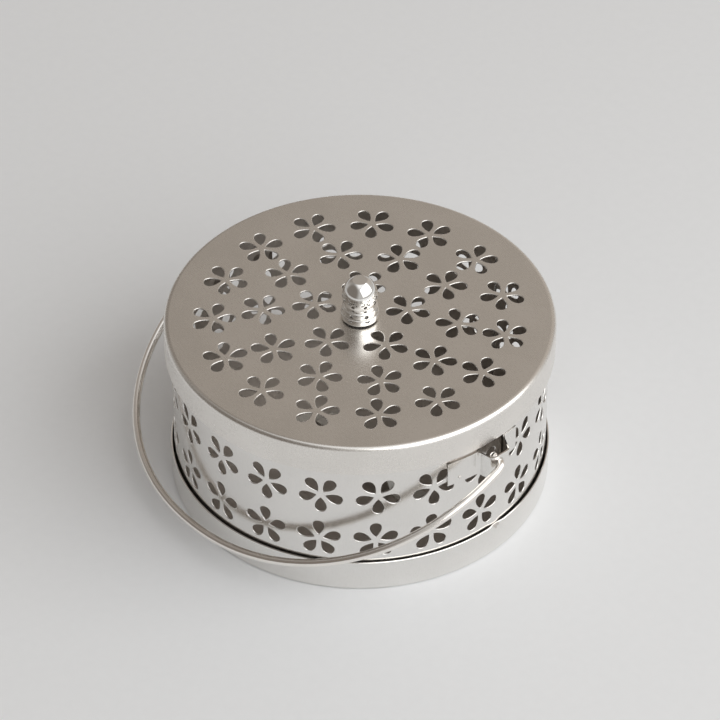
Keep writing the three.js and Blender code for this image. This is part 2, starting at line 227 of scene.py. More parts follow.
# Surfaces.
EVEN = (1, 1, 1)            # noise that isn't drawn out
GRAIN_DETAIL = 3
GRAIN_DEPTH = 0.02 * MM
CLOUD_SCALE = 55
CLOUD_DETAIL = 4
SWELL_SCALE = 28
SWELL_DETAIL = 1
SWELL_DEPTH = 0.4 * MM
NOISE_RANGE = (0.3, 0.7)    # where most of a noise's values lie
GRAIN_SHADE = (0.3, 0.5)    # what the grain and the cloudiness add to a colour's place in that
CLOUD_SHADE = (0, 0.2)
FLOOR_HALF_SIZE = 3


def side_of(step):
    """The direction to the right of a step in the plane."""
    return Vector((step.y, -step.x)).normalized()


def outward_at(points, i):
    """Which way is outwards at a corner of an anticlockwise outline, longer where it is mitred."""
    here = points[i]
    before = side_of(here - points[i - 1])
    after = side_of(points[(i + 1) % len(points)] - here)
    middle = (before + after).normalized()
    return middle / max(middle.dot(before), MITRE_LIMIT)


def spread(points, distance):
    """An anticlockwise outline moved outwards by a distance."""
    return [point + outward_at(points, i) * distance for i, point in enumerate(points)]


def polar(radius, angle):
    """A point in the plane, at an angle round from +X."""
    return Vector((radius * math.cos(angle), radius * math.sin(angle)))


def circle(centre, radius, count, start=0):
    """Points evenly round a circle, the first of them at an angle."""
    return [centre + polar(radius, start + FULL_TURN * i / count) for i in range(count)]


def rectangle(low_u, low_v, high_u, high_v):
    return [Vector((low_u, low_v)), Vector((high_u, low_v)), Vector((high_u, high_v)),
            Vector((low_u, high_v))]


def rounded(corners, radius, steps):
    """(x, y) corners with the inner ones rounded, as points."""
    points = [Vector(corners[0])]
    for before, here, after in zip(corners, corners[1:], corners[2:]):
        before, here, after = Vector(before), Vector(here), Vector(after)
        back, ahead = (before - here).normalized(), (after - here).normalized()
        half = back.angle(ahead) / 2
        reach = min(radius / math.tan(half), (before - here).length / 2, (after - here).length / 2)
        bend = reach * math.tan(half)
        centre = here + (back + ahead).normalized() * bend / math.sin(half)
        first = here + back * reach - centre
        turn = math.pi - 2 * half
        # A bend to the left turns one way, and a bend to the right the other.
        if first.x * (ahead - back).y - first.y * (ahead - back).x < 0:
            turn = -turn
        for i in range(steps + 1):
            angle = turn * i / steps
            points.append(centre + Vector((first.x * math.cos(angle) - first.y * math.sin(angle),
                                           first.x * math.sin(angle) + first.y * math.cos(angle))))
    points.append(Vector(corners[-1]))
    return points


def lengths_along(path):
    """How far along a path each of its points is."""
    lengths = [0]
    for before, after in zip(path, path[1:]):
        lengths.append(lengths[-1] + (after - before).length)
    return lengths


def swelling(share):
    """A smooth bump: 1 in its middle, and 0 from a share of 1 outwards."""
    return math.cos(QUARTER_TURN * share) ** 2 if share < 1 else 0


def arc_steps(radius, steps):
    """Round an edge: how far outwards, how deep, and the facing as (outwards, up)."""
    rows = []
    for i in range(steps + 1):
        angle = QUARTER_TURN * i / steps
        rows.append((radius * math.sin(angle), radius * (1 - math.cos(angle)),
                     math.sin(angle), math.cos(angle)))
    return rows


def cut_edge(thickness, roll):
    """Steps round a cut edge, from the outer face to the inner one."""
    entered = arc_steps(roll, steps=2)
    left = [(roll, thickness - CUT_BURR, 1, 0), (roll - CUT_BURR, thickness, 0, -1)]
    return entered + left


def new_object(name, data):
    """An object in the scene for some data."""
    thing = bpy.data.objects.new(name, data)
    bpy.context.scene.collection.objects.link(thing)
    return thing


def piece_from(name, vertices, polygons, facings=None, crease=None):
    """A mesh object. facings gives each face corner's normal; crease is the sharp edges' angle."""
    mesh = bpy.data.meshes.new(name)
    mesh.from_pydata(vertices, [], polygons)
    mesh.shade_smooth()
    if facings:
        mesh.normals_split_custom_set([facing for corners in facings for facing in corners])
    if crease:
        mesh.set_sharp_from_angle(angle=crease)
    return new_object(name, mesh)


def triangulated(border, holes, guides, extras):
    """A flat sheet's points, and triangles of their numbers. No triangle crosses a guide."""
    flat = []
    faces = []
    for outline in [border, *holes]:
        faces.append(list(range(len(flat), len(flat) + len(outline))))
        flat.extend(outline)
    edges = []
    for start, end in guides:
        edges.append((len(flat), len(flat) + 1))
        flat.extend([start, end])
    flat.extend(extras)
    spots, _, triangles, _, _, sources = delaunay_2d_cdt(flat, edges, faces, 0, DIFFERENCE, True)
    return spots, [triangle for triangle, source in zip(triangles, sources) if list(source) == [0]]


def outlines_of(triangles):
    """The loops of points round some triangles: the border anticlockwise, and holes clockwise."""
    edges = {(triangle[i - 1], triangle[i]) for triangle in triangles for i in range(len(triangle))}
    ahead = {start: end for start, end in edges if (end, start) not in edges}
    loops = []
    left = set(ahead)
    while left:
        loop = [min(left)]
        while ahead[loop[-1]] != loop[0]:
            loop.append(ahead[loop[-1]])
        left -= set(loop)
        loops.append(loop)
    return loops


def rim_rows(points, place, rim):
    """For each point of an outline, the points of its rim and their facings. The outline has the
    sheet at its left, and the rim leads away from it to the right."""
    rows = []
    for i, corner in enumerate(points):
        outward = outward_at(points, i)
        base, facing = place(*corner)
        aside = (place(*(corner + outward.normalized() * DIFFERENCE))[0] - base).normalized()
        row = []
        for out, deep, facing_out, facing_up in rim:
            point, here = place(*(corner + outward * out)) if out > 0 else (base, facing)
            row.append((point - here * deep,
                        (aside * facing_out + facing * facing_up).normalized()))
        rows.append(row)
    return rows


def sheet_piece(name, border, holes, guides, extras, place, thickness, border_rim, hole_rim):
    """A closed piece of sheet metal. The outlines lie in the flat (u, v) plane, and are those of the
    outer face. place(u, v) gives the point on the outer face and its facing. A rim is a list of
    steps that leads from the outer face to the inner one."""
    spots, triangles = triangulated(border, holes, guides, extras)
    vertices, polygons, facings = [], [], []
    outer, inner, outer_facing = {}, {}, {}
    for spot in sorted({spot for triangle in triangles for spot in triangle}):
        point, outer_facing[spot] = place(*spots[spot])
        outer[spot] = len(vertices)
        vertices.append(point)
    for loop in outlines_of(triangles):
        points = [spots[spot] for spot in loop]
        area = sum(points[i - 1].cross(points[i]) for i in range(len(points)))
        rows = rim_rows(points, place, border_rim if area > 0 else hole_rim)
        columns = []
        for spot, row in zip(loop, rows):
            column = [outer[spot]]
            for point, _ in row[1:]:
                column.append(len(vertices))
                vertices.append(point)
            columns.append(column)
            inner[spot] = column[-1]
        for i in range(len(loop)):
            k = (i + 1) % len(loop)
            for j in range(len(rows[i]) - 1):
                corners = ((i, j), (i, j + 1), (k, j + 1), (k, j))
                polygons.append(tuple(columns[at][step] for at, step in corners))
                facings.append(tuple(rows[at][step][1] for at, step in corners))
    for spot in outer:
        if spot not in inner:
            inner[spot] = len(vertices)
            vertices.append(vertices[outer[spot]] - outer_facing[spot] * thickness)
    for triangle in triangles:
        polygons.append(tuple(outer[spot] for spot in triangle))
        facings.append(tuple(outer_facing[spot] for spot in triangle))
        polygons.append(tuple(inner[spot] for spot in reversed(triangle)))
        facings.append(tuple(-outer_facing[spot] for spot in reversed(triangle)))
    return piece_from(name, vertices, polygons, facings)


def band(low, high, count):
    """Faces between two rings of points, given by the numbers of their first points."""
    return [(low + i, low + (i + 1) % count, high + (i + 1) % count, high + i)
            for i in range(count)]


def turned_piece(name, profile, segments, crease, dent=None):
    """A solid of revolution about Z from (radius, z) points that start and end on the axis, or close
    on themselves. dent(radius, z, angle) gives how far a point is pressed inwards."""
    on_axis = profile[0][0] == 0
    rows = profile[1:-1] if on_axis else profile
    last = (len(rows) - 1) * segments
    vertices, polygons = [], []
    for radius, z in rows:
        for i in range(segments):
            angle = FULL_TURN * i / segments
            reach = radius - (dent(radius, z, angle) if dent else 0)
            vertices.append(Vector((reach * math.cos(angle), reach * math.sin(angle), z)))
    for low in range(0, last, segments):
        polygons += band(low, low + segments, segments)
    if on_axis:
        for end, first in ((profile[0], 0), (profile[-1], last)):
            centre = len(vertices)
            vertices.append(Vector((0, 0, end[1])))
            for i in range(segments):
                corners = (first + (i + 1) % segments, first + i, centre)
                polygons.append(corners if first == 0 else corners[::-1])
    else:
        polygons += band(last, 0, segments)
    return piece_from(name, vertices, polygons, crease=crease)


def bent_strip(name, path, low, high, thickness, holes, extras, lift, upright):
    """A strip of sheet metal that follows a path of points in a plane. It faces to the right of the
    path. lift(u, v) is how far its face rises there. upright(point, across) makes the point in the
    frame."""
    lengths = lengths_along(path)
    sides = []
    for i in range(len(path)):
        back = path[i] - path[max(i - 1, 0)]
        ahead = path[min(i + 1, len(path) - 1)] - path[i]
        sides.append(side_of(back.normalized() + ahead.normalized()))

    def place(u, v):
        i = max(k for k in range(len(path) - 1) if lengths[k] <= max(u, 0))
        share = (u - lengths[i]) / (lengths[i + 1] - lengths[i])
        middle = path[i].lerp(path[i + 1], share)
        facing = sides[i].lerp(sides[i + 1], min(max(share, 0), 1)).normalized()
        point = middle + facing * (thickness / 2 + lift(u, v))
        slope_u = (lift(u + DIFFERENCE, v) - lift(u - DIFFERENCE, v)) / (2 * DIFFERENCE)
        slope_v = (lift(u, v + DIFFERENCE) - lift(u, v - DIFFERENCE)) / (2 * DIFFERENCE)
        leaning = facing - Vector((-facing.y, facing.x)) * slope_u
        return upright(point, v), upright(leaning, -slope_v).normalized()

    border = rectangle(RIM_ROLL, low + RIM_ROLL, lengths[-1] - RIM_ROLL, high - RIM_ROLL)
    guides = [(Vector((u, low + RIM_ROLL)), Vector((u, high - RIM_ROLL))) for u in lengths[1:-1]]
    rim = cut_edge(thickness, RIM_ROLL)
    return sheet_piece(name, border, holes, guides, extras, place, thickness, rim, rim)


def swept_piece(name, path, radius, sides, normal):
    """A round rod along a path, with domed ends. normal is a direction square to its start."""
    rings = []
    for i, point in enumerate(path):
        tangent = (path[min(i + 1, len(path) - 1)] - path[max(i - 1, 0)]).normalized()
        rings.append((point, tangent, radius))

    def dome(ring, way):
        """The rings beyond one end of the rod, along its tangent or against it."""
        point, tangent, _ = ring
        rows = []
        for step in range(1, WIRE_DOME_STEPS + 1):
            angle = QUARTER_TURN * (step - WIRE_DOME_FLAT) / WIRE_DOME_STEPS
            bulge = tangent * way * radius * WIRE_DOME_SHARE * math.sin(angle)
            rows.append((point + bulge, tangent, radius * math.cos(angle)))
        return rows

    rings = dome(rings[0], -1)[::-1] + rings + dome(rings[-1], 1)
    vertices = []
    reference = normal
    for point, tangent, reach in rings:
        reference = (reference - tangent * reference.dot(tangent)).normalized()
        across = tangent.cross(reference)
        for k in range(sides):
            angle = FULL_TURN * k / sides
            aside = reference * math.cos(angle) + across * math.sin(angle)
            vertices.append(point + aside * reach)
    last = (len(rings) - 1) * sides
    polygons = [tuple(reversed(range(sides))), tuple(range(last, last + sides))]
    for low in range(0, last, sides):
        polygons += band(low, low + sides, sides)
    return piece_from(name, vertices, polygons, crease=WIRE_CREASE)


def petal_outline(centre, angle):
    """An anticlockwise teardrop whose tip is nearest the flower's centre."""
    along = polar(1, angle)
    across = Vector((-along.y, along.x))
    widest_turn = math.acos(1 - 4 / (2 + PETAL_TAPER))
    scale = math.sin(widest_turn) * math.sin(widest_turn / 2) ** PETAL_TAPER
    points = []
    for i in range(PETAL_POINTS):
        turn = FULL_TURN * i / PETAL_POINTS
        share = (1 - math.cos(turn)) / 2
        half = -math.sin(turn) * abs(math.sin(turn / 2)) ** PETAL_TAPER / scale / 2
        points.append(centre + along * (PETAL_START + share * PETAL_LENGTH)
                      + across * half * PETAL_WIDTH)
    return points


def flower(centre, angle):
    """The outlines of one flower's petals, one of them pointing at an angle."""
    return [spread(petal_outline(centre, angle + FULL_TURN / PETAL_COUNT * i), CUT_ROLL)
            for i in range(PETAL_COUNT)]


def case_wall():
    """The rolled strip, whose end laps over its start."""
    pitch = FULL_TURN / WALL_FLOWER_COUNT
    # The seam is at the back, halfway between two flowers.
    middle = math.radians(sum(angle for _, angle, _ in WALL_ROWS) / len(WALL_ROWS))
    seam = middle + pitch * (round(QUARTER_TURN / pitch) + 1 / 2)
    start = seam - LAP_WIDTH / 2 / WALL_RADIUS
    around = FULL_TURN * WALL_RADIUS
    length = around + LAP_WIDTH

    def place(u, v):
        share = min(max((u - around + LAP_RAMP) / LAP_RAMP, 0), 1)
        lift = (SHEET + LAP_GAP) * share * share * (3 - 2 * share)
        angle = start + u / WALL_RADIUS
        facing = Vector((math.cos(angle), math.sin(angle), 0))
        return facing * (WALL_RADIUS + lift) + Vector((0, 0, v)), facing

    holes = []
    for z, first, turn in WALL_ROWS:
        for i in range(WALL_FLOWER_COUNT):
            angle = (math.radians(first) + pitch * i - start) % FULL_TURN
            holes += flower(Vector((angle * WALL_RADIUS, z)), math.radians(turn))
    border = rectangle(RIM_ROLL, WALL_BOTTOM + RIM_ROLL, length - RIM_ROLL, WALL_TOP - RIM_ROLL)
    columns = [around * i / WALL_COLUMNS for i in range(1, WALL_COLUMNS)]
    columns += [around - LAP_RAMP * i / LAP_STEPS for i in range(LAP_STEPS + 1)]
    guides = [(Vector((u, WALL_BOTTOM + RIM_ROLL)), Vector((u, WALL_TOP - RIM_ROLL)))
              for u in columns]
    return sheet_piece("case_wall", border, holes, guides, [], place, SHEET,
                       cut_edge(SHEET, RIM_ROLL), cut_edge(SHEET, CUT_ROLL))


def lid_shell():
    """The lid: a pierced disc whose border turns down into a skirt."""
    inner_edge = LID_EDGE_RADIUS - SHEET
    depth = LID_TOP - LID_BOTTOM
    shoulder = arc_steps(LID_EDGE_RADIUS, steps=8)
    hem = [(LID_EDGE_RADIUS, depth - RIM_ROLL, 1, 0),
           (LID_EDGE_RADIUS - RIM_ROLL, depth, 0, -1),
           (inner_edge + RIM_ROLL, depth, 0, -1),
           (inner_edge, depth - RIM_ROLL, -1, 0)]
    inside = [(out, deep + SHEET, -facing_out, -facing_up)
              for out, deep, facing_out, facing_up in reversed(arc_steps(inner_edge, steps=4))]
    middle = Vector((0, 0))
    holes = []
    for radius, count, start in LID_RINGS:
        for i in range(count):
            angle = math.radians(start) + FULL_TURN * i / count
            holes += flower(polar(radius, angle), angle + math.pi)
    holes.append(circle(middle, SCREW_RADIUS + CUT_ROLL, HOLE_POINTS))
    border = circle(middle, LID_RADIUS - LID_EDGE_RADIUS, LID_SEGMENTS)

    def place(u, v):
        return Vector((u, v, LID_TOP)), Vector((0, 0, 1))

    return sheet_piece("lid_shell", border, holes, [], [], place, SHEET, shoulder + hem + inside,
                       cut_edge(SHEET, CUT_ROLL))


def dish_shell():
    """The dish: a shallow pan with grips pressed into its rim."""
    inner = DISH_RADIUS - SHEET
    inner_edge = DISH_EDGE_RADIUS - SHEET
    edge_steps = 8
    side_steps = 16

    def corner(radius, floor, edge):
        """From the floor up to the side."""
        angles = [QUARTER_TURN * i / edge_steps for i in range(edge_steps + 1)]
        return [(radius - edge * (1 - math.sin(angle)), floor + edge * (1 - math.cos(angle)))
                for angle in angles]

    low, high = DISH_EDGE_RADIUS, DISH_TOP - RIM_ROLL
    side = [low + (high - low) * i / side_steps for i in range(1, side_steps + 1)]
    profile = [(0, 0), *corner(DISH_RADIUS, 0, DISH_EDGE_RADIUS)]
    profile += [(DISH_RADIUS, z) for z in side]
    profile += [(DISH_RADIUS - RIM_ROLL, DISH_TOP), (inner + RIM_ROLL, DISH_TOP)]
    profile += [(inner, z) for z in reversed(side)]
    profile += [*reversed(corner(inner, SHEET, inner_edge)), (0, SHEET)]

    def dent(radius, z, angle):
        spacing = FULL_TURN / GRIP_COUNT
        aside = ((angle - GRIP_ANGLE + spacing / 2) % spacing - spacing / 2) * DISH_RADIUS
        share = math.hypot(aside / GRIP_HALF_WIDTH, (DISH_TOP - z) / GRIP_HEIGHT)
        return 0 if radius < inner - inner_edge / 2 else GRIP_DEPTH * swelling(share)

    return turned_piece("dish_shell", profile, DISH_SEGMENTS, DISH_CREASE, dent)


def ear(side, name):
    """A stand-off bracket on the wall: two feet, and between them a plate with the bail's hole."""
    foot = WALL_RADIUS + EAR_SEAT_GAP + EAR_SHEET / 2
    plate = EAR_PLATE_X - EAR_SHEET / 2

    def foot_points(start, end, steps):
        return [polar(foot, start + (end - start) * i / steps) for i in range(steps + 1)]

    near, far = foot_points(*EAR_NEAR_FOOT), foot_points(*EAR_FAR_FOOT)
    corners = [near[-2], near[-1], *[Vector((plate, y)) for y in EAR_PLATE_Y], far[0], far[1]]
    path = near[:-2] + rounded(corners, EAR_BEND, BEND_STEPS) + far[2:]
    lengths = lengths_along(path)
    total = lengths[-1]
    before_hole = max(i for i, point in enumerate(path)
                      if point.y <= 0 and point.x > plate - DIFFERENCE)
    hole_u = lengths[before_hole] - path[before_hole].y
    hole = circle(Vector((hole_u, PIVOT_Z)), EAR_HOLE_RADIUS + RIM_ROLL, HOLE_POINTS)
    welds = []
    for angle, height in WELDS:
        spot = polar(foot, math.radians(angle))
        along = (spot - path[0]).length if angle < 0 else total - (path[-1] - spot).length
        welds.append(Vector((along, height)))
    spots = []
    for weld in welds:
        spots.append(weld)
        for ring in range(1, WELD_RINGS + 1):
            spots += circle(weld, WELD_RADIUS * ring / WELD_RINGS, WELD_RING_POINTS,
                            ring / WELD_RING_POINTS)

    def lift(u, v):
        here = Vector((u if side > 0 else total - u, v))
        share = min((here - weld).length for weld in welds) / WELD_RADIUS
        return WELD_HEIGHT * swelling(share)

    if side < 0:
        path = [Vector((-point.x, point.y)) for point in reversed(path)]
        spots = [Vector((total - spot.x, spot.y)) for spot in spots]
        hole = [Vector((total - spot.x, spot.y)) for spot in reversed(hole)]
    return bent_strip(name, path, EAR_BOTTOM, EAR_TOP, EAR_SHEET, [hole], spots, lift,
                      lambda point, across: Vector((point.x, point.y, across)))


def bail_rod():
    """The bail, whose two ends pass through the ears and are bent over inside them."""
    centre_y = (BAIL_REACH ** 2 - BAIL_LEG_X ** 2) / (2 * BAIL_REACH)
    arc = BAIL_REACH - centre_y
    start = math.asin((BAIL_BEND - centre_y) / arc)
    bend = [QUARTER_TURN * i / BAIL_BEND_STEPS for i in range(BAIL_BEND_STEPS + 1)]
    bow = [start + (QUARTER_TURN - start) * i / BAIL_BOW_STEPS
           for i in range(1, BAIL_BOW_STEPS + 1)]

    def bowed(share):
        return math.copysign(abs(share) ** (2 / BAIL_FULLNESS), share)

    half = [Vector((BAIL_TAIL_X, 0, -BAIL_TAIL_REACH))]
    half += [Vector((BAIL_TAIL_X + BAIL_BEND * (1 - math.cos(angle)), 0,
                     -BAIL_BEND * (1 - math.sin(angle)))) for angle in bend]
    half += [Vector((BAIL_LEG_X - BAIL_BEND * (1 - math.sin(angle)),
                     BAIL_BEND * (1 - math.cos(angle)), 0)) for angle in bend]
    half += [Vector((arc * bowed(math.cos(angle)), centre_y + arc * bowed(math.sin(angle)), 0))
             for angle in bow]
    path = half + [Vector((-point.x, point.y, point.z)) for point in reversed(half[:-1])]
    for point in path:
        point.x -= BAIL_LEAN * max((point.y - BAIL_BEND) / (BAIL_REACH - BAIL_BEND), 0)
    place = Matrix.Translation((0, 0, PIVOT_Z)) @ Matrix.Rotation(math.pi + BAIL_DROP, 4, "X")
    return swept_piece("bail_rod", [place @ point for point in path], WIRE_RADIUS, WIRE_SIDES,
                       Vector((0, 1, 0)))


def knob_turned():
    """The knob, from its bore up its side to the flat on its dome."""
    groove = KNOB_BASE + KNOB_COLLAR_TOP
    ring_top = KNOB_BASE + KNOB_RING_TOP
    waist_top = KNOB_BASE + KNOB_WAIST_TOP
    lower = [(KNOB_BORE, KNOB_BASE), (KNOB_COLLAR_RADIUS, KNOB_BASE),
             (KNOB_COLLAR_RADIUS, groove), (KNOB_GROOVE_RADIUS, groove)]
    ring = [(KNOB_GROOVE_RADIUS, groove),
            (KNOB_GROOVE_RADIUS, groove + KNOB_GROOVE_WIDTH),
            (KNOB_RING_RADIUS, groove + KNOB_GROOVE_WIDTH),
            (KNOB_RING_RADIUS, ring_top), (KNOB_WAIST_RADIUS, ring_top),
            (KNOB_WAIST_RADIUS, waist_top)]
    bore_top = SCREW_TOP + KNOB_GROOVE_WIDTH
    profile = [(0, bore_top), (KNOB_BORE, bore_top)]
    profile += rounded(lower, KNOB_ROUNDING, steps=5)[:-1]
    profile += rounded(ring, KNOB_ROUNDING / 2, steps=4)
    for i in range(1, KNOB_FLARE_STEPS + 1):
        share = i / KNOB_FLARE_STEPS
        profile.append((KNOB_WAIST_RADIUS + (KNOB_DOME_RADIUS - KNOB_WAIST_RADIUS)
                        * math.sin(QUARTER_TURN * share),
                        waist_top + (KNOB_DOME_WIDEST - KNOB_WAIST_TOP) * share))
    flat_angle = math.acos(KNOB_FLAT_RADIUS / KNOB_DOME_RADIUS)
    dome_height = (KNOB_TOP - KNOB_BASE - KNOB_DOME_WIDEST) / math.sin(flat_angle)
    for i in range(1, KNOB_DOME_STEPS + 1):
        angle = flat_angle * i / KNOB_DOME_STEPS
        profile.append((KNOB_DOME_RADIUS * math.cos(angle),
                        KNOB_BASE + KNOB_DOME_WIDEST + dome_height * math.sin(angle)))
    profile += [(KNOB_FLAT_RADIUS * share, KNOB_TOP) for share in KNOB_FLAT_RINGS]
    profile.append((0, KNOB_TOP))
    return turned_piece("knob_turned", profile, KNOB_SEGMENTS, KNOB_CREASE)


def washer_ring():
    """The washer under the knob. Its profile starts and ends on its bore."""
    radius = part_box("knob_washer")[1].y
    low, high = heights("knob_washer")
    roll = (high - low) / 3
    ring = [(KNOB_BORE, low + roll), (KNOB_BORE, low), (radius, low), (radius, high),
            (KNOB_BORE, high), (KNOB_BORE, low + 2 * roll)]
    profile = rounded(ring, roll, steps=4)
    return turned_piece("washer_ring", profile, WASHER_SEGMENTS, WASHER_CREASE)


def screw_body():
    """The screw: a pan head with a recess, and a threaded shank."""
    under = LID_TOP - SHEET
    pitch = (SCREW_TOP - under) / SCREW_TURNS
    head = [(SCREW_HEAD_RADIUS / 3, SCREW_BOTTOM), (SCREW_HEAD_RADIUS, SCREW_BOTTOM),
            (SCREW_HEAD_RADIUS, under), (SCREW_RADIUS, under)]
    profile = [(0, SCREW_BOTTOM + SCREW_RECESS), (SCREW_RECESS, SCREW_BOTTOM + SCREW_RECESS),
               (SCREW_RECESS, SCREW_BOTTOM)]
    profile += rounded(head, SCREW_RECESS * 2 / 3, steps=5)[1:]
    for i in range(1, SCREW_TURNS):
        z = under + pitch * i
        profile += [(SCREW_RADIUS * SCREW_ROOT_SHARE, z - pitch / 3), (SCREW_RADIUS, z)]
    profile += [(SCREW_RADIUS * SCREW_TIP_SHARE, SCREW_TOP), (0, SCREW_TOP)]
    return turned_piece("screw_body", profile, SCREW_SEGMENTS, SCREW_CREASE)


def coil_bridge():
    """The coil's stand: a bridge on two feet, with the slot that its spear was cut from."""
    floor = SHEET + STAND_SHEET / 2
    top = STAND_BRIDGE_Z + STAND_SHEET / 2
    corners = [(STAND_HALF_SPAN, floor), (STAND_KNEE, floor), (STAND_KNEE - STAND_LEG_RUN, top),
               (-STAND_KNEE + STAND_LEG_RUN, top), (-STAND_KNEE, floor),
               (-STAND_HALF_SPAN, floor)]
    path = rounded(corners, STAND_BEND, BEND_STEPS)
    slot_end = lengths_along(path)[-1] / 2 - SPEAR_OFFSET
    slot = rectangle(slot_end - SPEAR_HEIGHT, -SPEAR_WIDTH / 2, slot_end, SPEAR_WIDTH / 2)
    return bent_strip("coil_bridge", path, -STAND_WIDTH / 2, STAND_WIDTH / 2, STAND_SHEET, [slot],
                      [], lambda u, v: 0,
                      lambda point, across: Vector((point.x, -across, point.y)))


def coil_spear():
    """The pointed tongue that stands on the bridge and holds the coil's eye."""
    half = SPEAR_WIDTH / 2
    foot = STAND_BRIDGE_Z + STAND_SHEET
    outline = [Vector((-half, foot)), Vector((half, foot)), Vector((half, foot + SPEAR_NECK)),
               Vector((0, foot + SPEAR_HEIGHT)), Vector((-half, foot + SPEAR_NECK))]

    def place(u, v):
        return Vector((STAND_SHEET / 2, u, v)), Vector((1, 0, 0))

    return sheet_piece("coil_spear", spread(outline, -RIM_ROLL), [], [], [], place, STAND_SHEET,
                       cut_edge(STAND_SHEET, RIM_ROLL), [])


def new_material(name):
    """A material, its nodes and links, and its shader."""
    material = bpy.data.materials.new(name)
    material.use_nodes = True
    tree = material.node_tree
    return material, tree.nodes, tree.links, tree.nodes["Principled BSDF"]


def noise(nodes, links, scale, detail, stretch=EVEN):
    """Noise in the piece's own coordinates, drawn out along an axis."""
    place = nodes.new("ShaderNodeTexCoord")
    mapping = nodes.new("ShaderNodeMapping")
    mapping.inputs["Scale"].default_value = stretch
    texture = nodes.new("ShaderNodeTexNoise")
    texture.inputs["Scale"].default_value = scale
    texture.inputs["Detail"].default_value = detail
    links.new(place.outputs["Object"], mapping.inputs["Vector"])
    links.new(mapping.outputs["Vector"], texture.inputs["Vector"])
    return texture.outputs["Fac"]


def ranged(nodes, links, value, low, high):
    """A noise value spread between two numbers."""
    node = nodes.new("ShaderNodeMapRange")
    node.inputs["From Min"].default_value, node.inputs["From Max"].default_value = NOISE_RANGE
    node.inputs["To Min"].default_value = low
    node.inputs["To Max"].default_value = high
    links.new(value, node.inputs["Value"])
    return node.outputs["Result"]


def summed(nodes, links, first, second):
    """The sum of two values."""
    node = nodes.new("ShaderNodeMath")
    node.operation = "ADD"
    links.new(first, node.inputs[0])
    links.new(second, node.inputs[1])
    return node.outputs[0]


def tinted(nodes, links, value, colours, positions=(0, 1)):
    """A value turned into a colour between two, which it reaches at two positions."""
    ramp = nodes.new("ShaderNodeValToRGB")
    for element, colour, position in zip(ramp.color_ramp.elements, colours, positions):
        element.position = position
        element.color = (*colour, 1)
    links.new(value, ramp.inputs["Fac"])
    return ramp.outputs["Color"]


def bumped(nodes, links, height, strength, depth):
    """A node that lets a surface look raised where a height is high."""
    node = nodes.new("ShaderNodeBump")
    node.inputs["Strength"].default_value = strength
    node.inputs["Distance"].default_value = depth
    links.new(height, node.inputs["Height"])
    return node


def metal(name, pale, dull, roughness, grain_scale, grain_bump, grain_stretch=EVEN, swell=0):
    """Metal with a fine grain, faint cloudiness in its colour and gloss, and a slight unevenness."""
    material, nodes, links, shader = new_material(name)
    shader.inputs["Metallic"].default_value = 1
    grain = noise(nodes, links, grain_scale, GRAIN_DETAIL, grain_stretch)
    cloud = noise(nodes, links, CLOUD_SCALE, CLOUD_DETAIL)
    shade = summed(nodes, links, ranged(nodes, links, grain, *GRAIN_SHADE),
                   ranged(nodes, links, cloud, *CLOUD_SHADE))
    colour = tinted(nodes, links, shade, (dull, pale), NOISE_RANGE)
    links.new(colour, shader.inputs["Base Color"])
    low, high = roughness
    gloss = summed(nodes, links, ranged(nodes, links, cloud, low, (low + high) / 2),
                   ranged(nodes, links, grain, 0, (high - low) / 2))
    links.new(gloss, shader.inputs["Roughness"])
    bump = bumped(nodes, links, grain, grain_bump, GRAIN_DEPTH)
    links.new(bump.outputs["Normal"], shader.inputs["Normal"])
    if swell:
        wave = noise(nodes, links, SWELL_SCALE, SWELL_DETAIL)
        under = bumped(nodes, links, wave, swell, SWELL_DEPTH)
        links.new(under.outputs["Normal"], bump.inputs["Normal"])
    return material


def dark_washer():
    """Dark matt rubber."""
    material, nodes, links, shader = new_material("washer_dark")
    cloud = noise(nodes, links, scale=900, detail=3)
    colour = tinted(nodes, links, cloud, ((0.012, 0.011, 0.010), (0.035, 0.033, 0.030)))
    links.new(colour, shader.inputs["Base Color"])
    links.new(ranged(nodes, links, cloud, 0.5, 0.7), shader.inputs["Roughness"])
    return material


def floor_material():
    """A pale, plain table top."""
    material, nodes, links, shader = new_material("table_white")
    cloud = noise(nodes, links, scale=260, detail=5)
    colour = tinted(nodes, links, cloud, ((0.825, 0.840, 0.855), (0.855, 0.870, 0.885)))
    links.new(colour, shader.inputs["Base Color"])
    shader.inputs["Roughness"].default_value = 0.85
    shader.inputs["Specular IOR Level"].default_value = 0.2
    return material


def from_photo(angle, elevation):
    """A direction in the frame, from an angle that is 0 towards the camera and grows to the right."""
    turn = CAMERA_ANGLE + math.radians(angle)
    rise = math.radians(elevation)
    return Vector((math.cos(turn) * math.cos(rise), math.sin(turn) * math.cos(rise),
                   math.sin(rise)))


def facing_mask(nodes, links, middle, cosines):
    """How far the world's direction is inside a part of the room, from 0 to 1."""
    place = nodes.new("ShaderNodeTexCoord")
    towards = nodes.new("ShaderNodeVectorMath")
    towards.operation = "DOT_PRODUCT"
    towards.inputs[1].default_value = from_photo(*middle)
    links.new(place.outputs["Generated"], towards.inputs[0])
    mask = nodes.new("ShaderNodeMapRange")
    mask.interpolation_type = "SMOOTHSTEP"
    mask.inputs["From Min"].default_value, mask.inputs["From Max"].default_value = cosines
    links.new(towards.outputs["Value"], mask.inputs["Value"])
    return mask.outputs["Result"]


def mixed(nodes, links, factor, below, above):
    """A colour between two, each of them a colour or a node's output."""
    mix = nodes.new("ShaderNodeMix")
    mix.data_type = "RGBA"
    links.new(factor, mix.inputs[0])
    for socket, colour in ((mix.inputs[6], below), (mix.inputs[7], above)):
        if isinstance(colour, tuple):
            socket.default_value = (*colour, 1)
        else:
            links.new(colour, socket)
    return mix.outputs[2]


